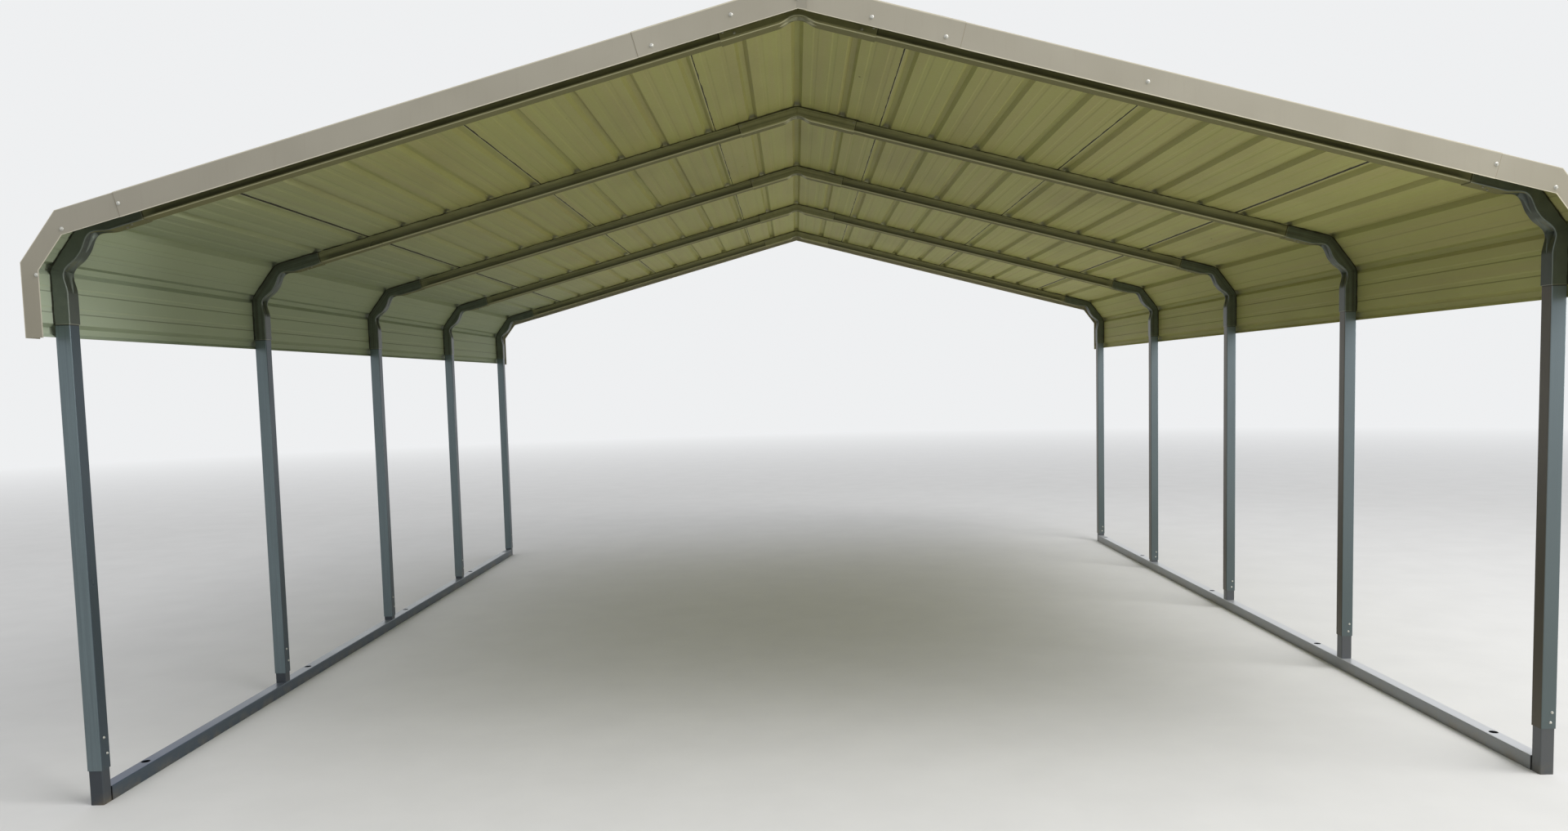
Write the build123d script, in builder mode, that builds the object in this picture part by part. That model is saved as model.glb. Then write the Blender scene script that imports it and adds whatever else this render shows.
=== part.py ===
"""Steel carport: five bow frames on two base rails, ribbed sheets over rounded eaves, and rake trim.

Millimetres. X is the width, Y the length (the front faces -Y), Z is up and the floor is z = 0.
"""
import os
from math import cos, degrees, radians, sin, sqrt, tan

from build123d import *

os.makedirs("parts", exist_ok=True)

# Roof and frame layout
frame_count = 5
roof_length = 6400.8
roof_overhang = 152.4
roof_pitch = 15.0
facet_pitch = 53.0
facet_length = 210.8
rib_pitch = 228.6
ribs_to_bend = 12
lower_bend_height = 2032.0

# Square tubes
wall = 2.66
slip = 0.3
leg_size = 57.15
tube_corner = 4.5
stub_size = leg_size - 2 * wall - 2 * slip
sleeve_size = leg_size + 2 * wall + 2 * slip
sleeve_step = (sleeve_size - leg_size) / 2

# Base rails and legs: how far each leg's lower end stands above the rail, front to rear
stub_height = 260.0
leg_gap_left = (77.0, 50.0, 22.0, 18.0, 10.0)
leg_gap_right = (119.0, 118.0, 63.0, 18.0, 18.0)
anchor_hole = 35.0
anchor_shift = 5.0
anchor_back = 305.0
anchor_back_last = -150.0

# Elbows and ridge sleeves
elbow_drop = 208.0
elbow_reach = 225.0
ridge_reach = 305.0
bend_radius = 80.0
fold_reach = 73.0
fold_depth = 26.0
ear_depth = 10.0
fold_apex = 0.5
dent_radius = 14.0
dent_depth = 2.0
dent_depth_inside = 0.3
tube_to_fold = 3.0

# Roof sheets
sheet = 0.8
lap_gap = 0.15
seat_gap = 0.15
rib_height = 19.0
rib_base = 50.0
rib_top = 22.0
minor_height = 1.6
minor_base = 26.0
minor_top = 14.0
lap_lip = 7.0
lap_jog = 8.0

# Rake trim
trim = 0.9
trim_gap = 0.1
rake_face = 91.0
facet_face = 69.0
drop_face = 64.0
drop_below_sheet = 8.0
rake_flange = 76.0
corner_run = 263.0
lap_run = 50.0
ridge_piece = 600.0
ridge_tab = 30.0
tab_stand = 6.0

pitch = radians(roof_pitch)
facet = radians(facet_pitch)
slope_length = rib_pitch * ribs_to_bend
half_width = slope_length * cos(pitch) + facet_length * cos(facet)
peak_height = lower_bend_height + facet_length * sin(facet) + slope_length * sin(pitch)
half_roof = roof_length / 2
half_frames = half_roof - roof_overhang
bay = 2 * half_frames / (frame_count - 1)
half_sleeve = sleeve_size / 2
post_x = half_width - half_sleeve
tube_stop = fold_reach + sleeve_size * tan((facet - pitch) / 2) + tube_to_fold
upright_angle = radians(90)
fold_slope = (fold_depth - fold_apex) / fold_reach


def slope_point(run, lift):
    """Point on the roof slope: run from the ridge, lift above the sleeves' top."""
    return (run * cos(pitch) + lift * sin(pitch), peak_height - run * sin(pitch) + lift * cos(pitch))


def facet_point(run, lift):
    """Point on the slanting facet: run from the upper bend, lift outwards."""
    x, z = slope_point(slope_length, 0)
    return (x + run * cos(facet) + lift * sin(facet), z - run * sin(facet) + lift * cos(facet))


def drop_point(run, lift):
    """Point on the upright part: run down from the lower bend, lift outwards."""
    return (half_width + lift, lower_bend_height - run)


def corner_point(first, second, lift):
    """Point at the given lift from both faces that meet at a bend, on the line that halves it."""
    turn = second - first
    middle = (first + second) / 2
    if second > facet:
        x, z = drop_point(0, 0)
    elif second > pitch:
        x, z = facet_point(0, 0)
    else:
        x, z = 0, peak_height
    out = lift / cos(turn / 2)
    return (x + out * sin(middle), z + out * cos(middle))


def offset_line(points, amount):
    """The same line of points moved to its outer side, with mitred corners."""
    normals = []
    for (x1, z1), (x2, z2) in zip(points, points[1:]):
        run = sqrt((x2 - x1) ** 2 + (z2 - z1) ** 2)
        normals.append((-(z2 - z1) / run, (x2 - x1) / run))
    moved = []
    for index, (x, z) in enumerate(points):
        before = normals[max(index - 1, 0)]
        after = normals[min(index, len(normals) - 1)]
        scale = amount / (1 + before[0] * after[0] + before[1] * after[1])
        moved.append((x + (before[0] + after[0]) * scale, z + (before[1] + after[1]) * scale))
    return moved


def trapezoid(place, run, base, top, height, level):
    """Four points of a rib across one flat part of the roof."""
    return [
        place(run - base / 2, level),
        place(run - top / 2, level + height),
        place(run + top / 2, level + height),
        place(run + base / 2, level),
    ]


def corner_rib(first, second, place_before, run_before, place_after):
    """Four points of a rib that sits on a bend."""
    turn = (second - first) / 2
    middle = (first + second) / 2
    rise = (rib_height - rib_top / 2 * sin(turn)) / cos(turn)
    x, z = place_after(0, 0)
    crown = [
        (x + rise * sin(middle) + side * rib_top / 2 * cos(middle),
         z + rise * cos(middle) - side * rib_top / 2 * sin(middle))
        for side in (-1, 1)
    ]
    return [place_before(run_before - rib_base / 2, seat_gap), *crown, place_after(rib_base / 2, seat_gap)]


def slope_rib(number):
    """Major rib on the slope."""
    level = sheet_level(number * rib_pitch)
    return trapezoid(slope_point, number * rib_pitch, rib_base, rib_top, rib_height, level)


def sheet_level(run):
    """Underside of the pans: on the sleeves near the ridge and the eaves, on the rafters between."""
    on_sleeve = run < ridge_reach + rib_pitch / 4 or run > slope_length - 1.45 * rib_pitch
    return seat_gap if on_sleeve else seat_gap - sleeve_step


def slope_pan(number):
    """The two minor ribs in the pan below a major rib, with any step from sleeve to rafter."""
    points = []
    for third in (1, 2):
        run = (number + third / 3) * rib_pitch
        points += trapezoid(slope_point, run, minor_base, minor_top, minor_height, sheet_level(run))
    return points


def slope_sheet(first, last):
    """Underside of a sheet between two laps: under the sheet above, over the sheet below."""
    start = slope_rib(first)
    points = [slope_point(first * rib_pitch - rib_base / 2 - lap_lip, sheet_level(first * rib_pitch)), *start]
    for number in range(first, last):
        points += slope_pan(number)
        if number + 1 < last:
            points += slope_rib(number + 1)
    return points + over_lap(last)


def over_lap(number):
    """The last rib of a sheet, raised over the first rib of the sheet below it."""
    level = sheet_level(number * rib_pitch)
    foot = number * rib_pitch - rib_base / 2
    far = number * rib_pitch + rib_base / 2
    under = [slope_point(foot - lap_lip - 1, level), *slope_rib(number), slope_point(far + lap_lip, level)]
    return [slope_point(foot - lap_lip - lap_jog, level), *offset_line(under, sheet + lap_gap)]


def eave_sheet(first):
    """Underside of the eave sheet, round both bends and down to its lower edge."""
    points = [slope_point(first * rib_pitch - rib_base / 2 - lap_lip, sheet_level(first * rib_pitch))]
    points += slope_rib(first)
    for number in range(first, ribs_to_bend):
        points += slope_pan(number)
        if number + 1 < ribs_to_bend:
            points += slope_rib(number + 1)
    points += corner_rib(pitch, facet, slope_point, slope_length, facet_point)
    for third in (1, 2):
        run = facet_length * third / 3
        points += trapezoid(facet_point, run, minor_base, minor_top, minor_height, seat_gap)
    points += corner_rib(facet, upright_angle, facet_point, facet_length, drop_point)
    for third in (1, 2):
        run = rib_pitch * third / 3
        points += trapezoid(drop_point, run, minor_base, minor_top, minor_height, seat_gap)
    return points + trapezoid(drop_point, rib_pitch, rib_base, rib_top, rib_height, seat_gap)


def mirrored(points):
    """Points of the right half, mirrored to the left and put in order from left to right."""
    return [(-x, z) for x, z in reversed(points)]


def long_sheet(underside):
    """A sheet of constant section along the whole roof."""
    outline = underside + list(reversed(offset_line(underside, sheet)))
    with BuildPart() as panel:
        with BuildSketch(Plane.XZ.offset(half_roof)):
            with BuildLine():
                Polyline(*outline, close=True)
            make_face()
        extrude(amount=-roof_length)
    return panel.part


def square_ring(size):
    """Section of a square tube with rounded corners."""
    RectangleRounded(size, size, tube_corner)
    RectangleRounded(size - 2 * wall, size - 2 * wall, tube_corner - wall, mode=Mode.SUBTRACT)


def upright(x, y, size, bottom, top):
    """Upright square tube."""
    with BuildPart() as tube:
        with BuildSketch(Plane.XY.offset(bottom)):
            with Locations((x, y)):
                square_ring(size)
        extrude(amount=top - bottom)
    return tube.part


def swept_bar(path_points, size, corner):
    """Solid square bar with rounded corners along a bent path in the XZ plane."""
    start, after = path_points[0], path_points[1]
    heading = (after[0] - start[0], 0, after[1] - start[1])
    with BuildPart() as bar:
        with BuildLine(Plane.XZ) as path:
            FilletPolyline(*path_points, radius=bend_radius - sleeve_size / 2)
        with BuildSketch(Plane(origin=(start[0], 0, start[1]), x_dir=(0, 1, 0), z_dir=heading)):
            RectangleRounded(size, size, corner)
        sweep(path=path.wires()[0])
    return bar.part


def prism(points, width):
    """Prism on the XZ plane, centred on it."""
    with BuildPart() as block:
        with BuildSketch(Plane.XZ):
            with BuildLine():
                Polyline(*points, close=True)
            make_face()
        extrude(amount=width / 2, both=True)
    return block.part


class Bend:
    """Inner side of a crushed bend, in side view: points and directions on its two faces."""

    def __init__(self, first, second):
        self.first, self.second = first, second
        self.middle = (first + second) / 2
        self.inner = corner_point(first, second, -sleeve_size)

    def inwards(self, distance):
        """Point on the line that halves the bend, from its inner corner into the tube."""
        x, z = self.inner
        return (x + distance * sin(self.middle), z + distance * cos(self.middle))

    def along(self, side):
        """Direction from the inner corner along its first (-1) or second (1) face."""
        angle = self.first if side < 0 else self.second
        return (side * cos(angle), -side * sin(angle))

    def crease_depth(self):
        """How deep the two halves of the fold meet, on the line that halves the bend."""
        turn = (self.second - self.first) / 2
        return fold_depth / (cos(turn) - fold_slope * sin(turn))

    def start(self, side, inset=0):
        """Where the fold starts on one face, or that place moved into the tube."""
        angle = self.first if side < 0 else self.second
        x, z = self.inner
        run_x, run_z = self.along(side)
        return (x + fold_reach * run_x + inset * sin(angle), z + fold_reach * run_z + inset * cos(angle))


def pinched_bar(outer_points, bends):
    """Solid square bar with rounded long edges, pinched on the inner side of each bend."""
    inner_points = offset_line(outer_points, -sleeve_size)
    with BuildPart() as bar:
        with BuildSketch(Plane.XZ):
            with BuildLine():
                FilletPolyline(*outer_points, radius=bend_radius)
                here = inner_points[0]
                for bend in bends:
                    for side in (-1, 1):
                        run_x, run_z = bend.along(side)
                        across = (-side * cos(bend.middle), side * sin(bend.middle))
                        Spline(bend.start(side), bend.inwards(ear_depth), tangents=[(-run_x, -run_z), across])
                    Line(here, bend.start(-1))
                    here = bend.start(1)
                Line(here, inner_points[-1])
                Line(outer_points[0], inner_points[0])
                Line(outer_points[-1], inner_points[-1])
            make_face()
        extrude(amount=half_sleeve, both=True)
        sides = bar.faces().sort_by(Axis.Y)
        long_edges = [
            edge for face in (sides[0], sides[-1]) for edge in face.edges()
            if abs(edge.length - sleeve_size) > 0.01
        ]
        fillet(long_edges, radius=tube_corner)
    return bar.part


def scoop(bend, side):
    """Conical half of the fold in the inner wall, from a point on one face to the bend's crease."""
    overrun = 1.3
    x, z = bend.start(side)
    run_x, run_z = bend.along(side)
    toward = Plane(origin=(x, 0, z), z_dir=(-run_x, 0, -run_z))
    length = overrun * fold_reach
    end_radius = fold_apex + fold_slope * length
    cone = Cone(fold_apex, end_radius, length, align=(Align.CENTER, Align.CENTER, Align.MIN))
    half = [bend.inwards(-2 * fold_depth), bend.start(side, -2 * fold_depth)]
    half += [bend.start(side, 2 * fold_depth), bend.inwards(2 * fold_depth)]
    return (toward * cone) & prism(half, 4 * sleeve_size)


def crushed_tube(outer_points, bends):
    """Bent square tube whose inner wall is folded inwards at each bend, between two rolled edges."""
    centre = offset_line(outer_points, -half_sleeve)
    inside = swept_bar(centre, sleeve_size - 2 * wall, tube_corner - wall)
    tube = pinched_bar(outer_points, bends)
    for bend in bends:
        floor = [bend.start(-1, fold_apex), bend.inwards(bend.crease_depth()), bend.start(1, fold_apex)]
        beyond = [bend.start(1, -sleeve_size), bend.inwards(-sleeve_size), bend.start(-1, -sleeve_size)]
        inside = inside - prism([*offset_line(floor, wall), *beyond], 2 * sleeve_size)
        tube = tube - scoop(bend, -1) - scoop(bend, 1)
    return tube - inside


def dented(tube, first, second):
    """The tube with the tapered dent that its bend leaves across the front and rear faces."""
    axis_offset = dent_radius - dent_depth
    length = sleeve_size - ear_depth
    middle = degrees((first + second) / 2)
    dent = Rot(0, middle, 0) * Cone(axis_offset + dent_depth_inside, dent_radius, length)
    x, z = corner_point(first, second, -length / 2)
    for side in (-1, 1):
        tube = tube - Pos(x, side * (half_sleeve + axis_offset), z) * dent
    return tube


def save(solid, name):
    """Label one subcomponent and write its STEP file."""
    solid.label = name
    export_step(solid, f"parts/{name}.step")


# Base rails, each one welded piece with its five stubs
rail_z = leg_size / 2
hole_depth = leg_size + 10
frame_rows = [index * bay - half_frames for index in range(frame_count)]
anchor_rows = [row + anchor_back for row in frame_rows[:-1]] + [frame_rows[-1] + anchor_back_last]
with BuildPart() as rail:
    with BuildSketch(Plane.XZ.offset(half_frames - stub_size / 2)):
        with Locations((post_x, rail_z)):
            square_ring(leg_size)
    extrude(amount=-(2 * half_frames - stub_size))
    with BuildSketch(Plane.XY.offset(leg_size + 5)):
        with Locations(*[(post_x + anchor_shift, row) for row in anchor_rows]):
            Circle(anchor_hole / 2)
    extrude(amount=-hole_depth, mode=Mode.SUBTRACT)
    for row in frame_rows:
        foot = 0 if abs(row) == half_frames else leg_size - 0.5
        add(upright(post_x, row, stub_size, foot, leg_size + stub_height))
save(rail.part, "base_rail_right")
save(mirror(rail.part, about=Plane.YZ), "base_rail_left")

# Legs, each over its stub and up into its elbow
for index, row in enumerate(frame_rows):
    for side, name, gaps in ((-1, "left", leg_gap_left), (1, "right", leg_gap_right)):
        leg = upright(side * post_x, row, leg_size, leg_size + gaps[index], lower_bend_height - tube_stop)
        save(leg, f"leg_{name}_{index + 1}")

# Elbow with two crushed bends, and its copies
elbow_line = [
    slope_point(slope_length - elbow_reach, 0),
    corner_point(pitch, facet, 0),
    corner_point(facet, upright_angle, 0),
    drop_point(elbow_drop, 0),
]
elbow = crushed_tube(elbow_line, [Bend(pitch, facet), Bend(facet, upright_angle)])
elbow = dented(elbow, pitch, facet)
elbow = dented(elbow, facet, upright_angle)
elbow_left = mirror(elbow, about=Plane.YZ)

# Ridge sleeve with one crushed bend
ridge_line = [
    mirrored([slope_point(ridge_reach, 0)])[0],
    corner_point(-pitch, pitch, 0),
    slope_point(ridge_reach, 0),
]
ridge_sleeve = dented(crushed_tube(ridge_line, [Bend(-pitch, pitch)]), -pitch, pitch)

# One pair of rafters, from inside the ridge sleeve to inside the elbows
with BuildPart() as rafters:
    x, z = slope_point(tube_stop, -half_sleeve)
    with BuildSketch(Plane(origin=(x, 0, z), x_dir=(0, 1, 0), z_dir=(cos(pitch), 0, -sin(pitch)))):
        square_ring(leg_size)
    extrude(amount=slope_length - 2 * tube_stop)
    mirror(about=Plane.YZ)

for index, row in enumerate(frame_rows):
    place = Pos(0, row, 0)
    save(place * elbow, f"elbow_right_{index + 1}")
    save(place * elbow_left, f"elbow_left_{index + 1}")
    save(place * ridge_sleeve, f"ridge_sleeve_{index + 1}")
    save(place * rafters.part, f"rafters_{index + 1}")

# Roof sheets, each lapped over the one below it
lap_ribs = (2, 6, 10)
half_ridge = corner_rib(-pitch, pitch, slope_point, 0, slope_point)[2:]
for number in range(lap_ribs[0]):
    half_ridge += slope_pan(number)
    if number + 1 < lap_ribs[0]:
        half_ridge += slope_rib(number + 1)
half_ridge += over_lap(lap_ribs[0])
save(long_sheet(mirrored(half_ridge) + half_ridge), "roof_sheet_ridge")
sheets = {
    "upper": slope_sheet(lap_ribs[0], lap_ribs[1]),
    "middle": slope_sheet(lap_ribs[1], lap_ribs[2]),
    "eave": eave_sheet(lap_ribs[2]),
}
for name, underside in sheets.items():
    panel = long_sheet(underside)
    save(panel, f"roof_sheet_{name}_right")
    save(mirror(panel, about=Plane.YZ), f"roof_sheet_{name}_left")

# Rake trim: corner pieces against the sheet ends, long pieces lapped over them
corner_lift = seat_gap + rib_height + 2 * sheet + lap_gap + trim_gap
rake_lift = corner_lift + trim + trim_gap
sheet_edge = rib_pitch + rib_base / 2
drop_end = sheet_edge + drop_below_sheet
face_plane = Plane.XZ.offset(half_roof + trim_gap)


def trim_piece(top_line, bottom_line, level):
    """Folded trim: an upright face at the roof's end and a flange back over the sheets."""
    flange = top_line + list(reversed(offset_line(top_line, trim)))
    face = offset_line(top_line, trim) + list(reversed(bottom_line))
    with BuildPart() as piece:
        with BuildSketch(face_plane.offset(level)):
            with BuildLine():
                Polyline(*face, close=True)
            make_face()
        extrude(amount=trim)
        with BuildSketch(face_plane.offset(level)):
            with BuildLine():
                Polyline(*flange, close=True)
            make_face()
        extrude(amount=-(rake_flange + level))
    return piece.part


def face_corner(first, second, low_first, low_second):
    """Where the lower edges of two trim faces of different widths meet."""
    corner = corner_point(first, second, 0)
    lift_first = corner_lift - low_first
    lift_second = corner_lift - low_second
    turn = second - first
    along = (lift_second - lift_first * cos(turn)) / sin(turn)
    return (
        corner[0] + lift_first * sin(first) + along * cos(first),
        corner[1] + lift_first * cos(first) - along * sin(first),
    )


corner_start = slope_length - corner_run
corner_top = [
    slope_point(corner_start, corner_lift),
    corner_point(pitch, facet, corner_lift),
    corner_point(facet, upright_angle, corner_lift),
    drop_point(drop_end, corner_lift),
]
corner_bottom = [
    slope_point(corner_start, corner_lift - rake_face + 2),
    face_corner(pitch, facet, rake_face - 2, facet_face),
    face_corner(facet, upright_angle, facet_face, drop_face),
    drop_point(drop_end, corner_lift - drop_face),
]
corner_right = trim_piece(corner_top, corner_bottom, 0)
corners_front = corner_right + mirror(corner_right, about=Plane.YZ)

rake_level = trim + trim_gap
rake_start = ridge_piece - lap_run
rake_end = corner_start + lap_run
rake_top = [slope_point(rake_start, rake_lift), slope_point(rake_end, rake_lift)]
rake_bottom = [slope_point(rake_start, rake_lift - rake_face), slope_point(rake_end, rake_lift - rake_face)]
rake_right = trim_piece(rake_top, rake_bottom, rake_level)

ridge_level = 2 * rake_level
ridge_lift = rake_lift + trim + trim_gap
low_lift = ridge_lift - rake_face
ridge_low = corner_point(-pitch, pitch, low_lift)
ridge_high = corner_point(-pitch, pitch, ridge_lift)
piece_top = [ridge_high, slope_point(ridge_piece, ridge_lift)]
piece_bottom = [ridge_low, slope_point(ridge_piece, low_lift)]
ridge_right = trim_piece(piece_top, piece_bottom, ridge_level)

# Tab of the left ridge piece, bent forward over the right one
face_y = -half_roof - trim_gap
tab_level = ridge_level + trim + trim_gap
tab_root = (trim + trim_gap) * ridge_tab / tab_stand
tab_end_y = face_y - tab_level - tab_stand
tab_high = corner_point(-pitch, pitch, ridge_lift + trim)[1]
tab_low = ridge_low[1]
root_drop = tab_root * tan(pitch)
end_drop = ridge_tab * tan(pitch)
with BuildPart() as tab:
    with BuildSketch(Plane.XY):
        with BuildLine():
            Polyline(
                (-tab_root, face_y - ridge_level),
                (ridge_tab, tab_end_y),
                (ridge_tab, tab_end_y - trim),
                (-tab_root, face_y - ridge_level - trim),
                close=True,
            )
        make_face()
    extrude(amount=2 * peak_height)
    with BuildSketch(Plane.XZ.offset(half_roof)):
        with BuildLine():
            Polyline(
                (-tab_root, tab_high - root_drop),
                (0, tab_high),
                (ridge_tab, tab_high - end_drop),
                (ridge_tab, tab_low - end_drop),
                (0, tab_low),
                (-tab_root, tab_low - root_drop),
                close=True,
            )
        make_face()
    extrude(amount=2 * (tab_level + tab_stand + trim), mode=Mode.INTERSECT)
ridge_left = mirror(ridge_right, about=Plane.YZ) + tab.part

rake_left = mirror(rake_right, about=Plane.YZ) + ridge_left
rake_right = rake_right + ridge_right

save(rake_left, "rake_trim_front_left")
save(rake_right, "rake_trim_front_right")
save(corners_front, "corner_trims_front")
save(mirror(rake_left, about=Plane.XZ), "rake_trim_rear_left")
save(mirror(rake_right, about=Plane.XZ), "rake_trim_rear_right")
save(mirror(corners_front, about=Plane.XZ), "corner_trims_rear")
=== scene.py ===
"""Looks of the steel carport: finishes of its frame, roof and trim, its screws, and a plain pale studio.

Metres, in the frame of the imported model: the front faces -Y and the floor is z = 0.
"""
from math import cos, pi, radians, sin

import bmesh
import bpy
from mathutils import Matrix, Vector


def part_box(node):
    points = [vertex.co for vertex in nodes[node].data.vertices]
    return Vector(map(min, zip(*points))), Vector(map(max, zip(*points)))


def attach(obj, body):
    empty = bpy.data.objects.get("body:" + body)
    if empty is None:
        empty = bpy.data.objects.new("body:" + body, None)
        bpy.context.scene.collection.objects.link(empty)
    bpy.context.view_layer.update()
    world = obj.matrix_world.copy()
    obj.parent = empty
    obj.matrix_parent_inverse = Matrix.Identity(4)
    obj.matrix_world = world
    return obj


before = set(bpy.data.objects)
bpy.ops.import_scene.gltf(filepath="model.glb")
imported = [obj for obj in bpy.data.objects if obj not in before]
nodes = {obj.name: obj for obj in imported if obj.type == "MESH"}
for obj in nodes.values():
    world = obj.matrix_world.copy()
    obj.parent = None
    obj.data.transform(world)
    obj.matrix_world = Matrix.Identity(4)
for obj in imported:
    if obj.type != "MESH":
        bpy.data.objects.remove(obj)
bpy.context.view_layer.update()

# The roof's layout, the same as the model's
ROOF_PITCH = radians(15)
FACET_PITCH = radians(53)
FACET_LENGTH = 0.2108
RIB_PITCH = 0.2286
RIB_HEIGHT = 0.019
RIBS_TO_BEND = 12
LOWER_BEND = 2.032
SHEET = 0.0008
SLEEVE_STEP = 0.00296
SLOPE_LENGTH = RIB_PITCH * RIBS_TO_BEND
UPPER_BEND_X = SLOPE_LENGTH * cos(ROOF_PITCH)
UPPER_BEND_Z = LOWER_BEND + FACET_LENGTH * sin(FACET_PITCH)
HALF_WIDTH = UPPER_BEND_X + FACET_LENGTH * cos(FACET_PITCH)
PEAK = UPPER_BEND_Z + SLOPE_LENGTH * sin(ROOF_PITCH)
FRAMES = range(1, 6)
LAP_RIBS = (2, 6, 10)
LAP_EDGE = 0.032
RIDGE_SLEEVE_END = 0.305
ELBOW_END = SLOPE_LENGTH - 0.225
ELBOW_FOOT = LOWER_BEND - 0.208
RIDGE_TRIM_END = 0.600
RAKE_END = SLOPE_LENGTH - 0.213
SIDES = {"left": -1, "right": 1}

# Colours, linear
BEIGE = (0.39, 0.368, 0.322)
BEIGE_DUSTY = (0.33, 0.308, 0.262)
# The underside's khaki and brown are a pale backer coat with painted green bounce light in them
KHAKI = (0.485, 0.495, 0.232)
KHAKI_BROWN = (0.475, 0.445, 0.242)
SKYLIT_GREY_GREEN = (0.33, 0.395, 0.345)
# The legs' blue tint is a painted reflection of the sky
ZINC_LEGS = (0.168, 0.217, 0.238)
ZINC_LEGS_DULL = (0.105, 0.138, 0.154)
ZINC_LEGS_RIGHT_LIT = (0.167, 0.208, 0.238)
ZINC_LEGS_LOW_SHADED = (0.066, 0.088, 0.086)
SHADED_INNER_LEFT = (0.030, 0.045, 0.062)
SHADED_INNER_RIGHT = (0.072, 0.056, 0.034)
# The bows' yellow-green tint is a painted reflection of green ground
ZINC_BOWS = (0.37, 0.37, 0.232)
ZINC_BOWS_DULL = (0.24, 0.24, 0.147)
# The rails' zinc is painted dark, as in shade
ZINC_RAILS_SHADED = (0.060, 0.084, 0.112)
ZINC_RAILS_DULL_SHADED = (0.037, 0.052, 0.068)
ZINC_RAIL_RIGHT_SUNLIT = (0.27, 0.28, 0.29)
RAIL_TOP_RIGHT_SUNLIT = (0.62, 0.64, 0.67)
RAIL_TOP_FRONT_SHADED = (0.045, 0.068, 0.125)
RAIL_TOP_BACK_LIT = (0.29, 0.315, 0.335)
DUST = (0.22, 0.18, 0.12)
# Near-black for real specks, and for painted shadow lines and painted shade
SPECK_AND_SHADE_DARK = (0.03, 0.026, 0.02)
# The elbows' zinc is a darker copy of the bows', as painted shade
ZINC_ELBOWS_SHADED = (0.158, 0.184, 0.157)
ZINC_ELBOWS_DULL_SHADED = (0.10, 0.117, 0.105)
SHADED_INNER_ELBOW = (0.035, 0.04, 0.036)
ZINC_STUB_SHADED = (0.055, 0.06, 0.068)
ZINC_SHADED = (0.05, 0.05, 0.032)
ZINC_UNDER_SHADED = (0.20, 0.192, 0.105)
ZINC_CORNER_HIGHLIGHT = (0.58, 0.56, 0.36)
ZINC_END_HIGHLIGHT = (0.62, 0.61, 0.52)
BEIGE_SHADED = (0.28, 0.255, 0.195)
BEIGE_HIGHLIGHT = (0.62, 0.585, 0.50)
# Pale for the laps' cut edges, and for painted highlights on the minor ribs
PALE_EDGE_AND_HIGHLIGHT = (0.62, 0.61, 0.42)
BACKDROP = (0.86, 0.87, 0.88)
GROUND_LEFT = (0.26, 0.27, 0.22)
GROUND_RIGHT_SUNLIT = (0.74, 0.71, 0.44)
GROUND_SHADE = (0.26, 0.255, 0.165)
GROUND_FAR = (0.92, 0.89, 0.60)
FLOOR_DULL = (0.67, 0.675, 0.68)
FLOOR_PALE = (0.70, 0.705, 0.71)
RUBBER = (0.02, 0.02, 0.02)
RUBBER_WORN = (0.06, 0.058, 0.055)
SCREW_BRIGHT = (0.66, 0.66, 0.62)
SCREW_BRIGHT_WORN = (0.45, 0.45, 0.42)
SCREW_DULL = (0.34, 0.34, 0.28)
SCREW_DULL_WORN = (0.20, 0.20, 0.16)

# Where lines and shades lie, in metres. A line lies between the two numbers of its pair, and a shade
# grows from the first to the second. The hems are the trim's depths on its three faces.
LAP_SHADOWS = ((0.0020, 0.0060), (0.0030, 0.0080), (0.0095, 0.0135))
LAP_CUT = (-0.0034, -0.0006)
LOWER_FLANK = (0.0070, 0.0115)
UPPER_FLANK = (-0.0115, -0.0070)
# Painted shade on a minor rib's lower flank and a painted highlight on its upper flank
MINOR_LINES = ((LOWER_FLANK, 0.38, SPECK_AND_SHADE_DARK), (UPPER_FLANK, 0.09, PALE_EDGE_AND_HIGHLIGHT))
MINOR_ON_FACET = 0.4
FACING_BLEND = 0.03
SKYLIT_SIDE = (-1.6, -2.75)
TRIM_HEMS = (0.069, 0.048, 0.043)
TRIM_TOP_HIGHLIGHT = (0.0185, 0.0205)
TRIM_HEM_HIGHLIGHT = (0.0042, 0.0026)
TRIM_SHADED = (2.26, 1.95)
TRIM_SEAM = (-0.0004, 0.0022)
SLEEVE_END_HIGHLIGHT = (-0.0022, 0.002)
SLEEVE_SHADOW_START = -0.002
SLEEVE_SHADOW = (0.006, 0.002)
BEFORE_BEND = (SLOPE_LENGTH - 0.20, SLOPE_LENGTH - 0.28)
BOW_LOWER_FACE = (-0.018, -0.046)
BOW_CORNER_HIGHLIGHT = (-0.0520, -0.0545)
SHADOW_GAP_REACH = (-0.0052, -0.0095)
LOW_LEG = (1.6, 0.4)
ELBOW_SIDE = 1.0
RAIL_TOP_FADE = (-2.6, -0.6)
END_STUB = (3.0185, 3.0195)
STUB_FOOT = (0.058, 0.062)
LEG_DUST = 0.16
RAIL_DUST = 0.05

# How tightly streaks are drawn along x, y and z
STREAKS = {"leg": (30, 30, 0.4), "rail": (30, 0.4, 30), "rafter": (1, 30, 8), "sleeve": (3, 3, 3)}
# The same down a bow's slope, along the roof and through the bow's depth
BOW_STREAKS = (0.9, 2.0, 75.0)


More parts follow.
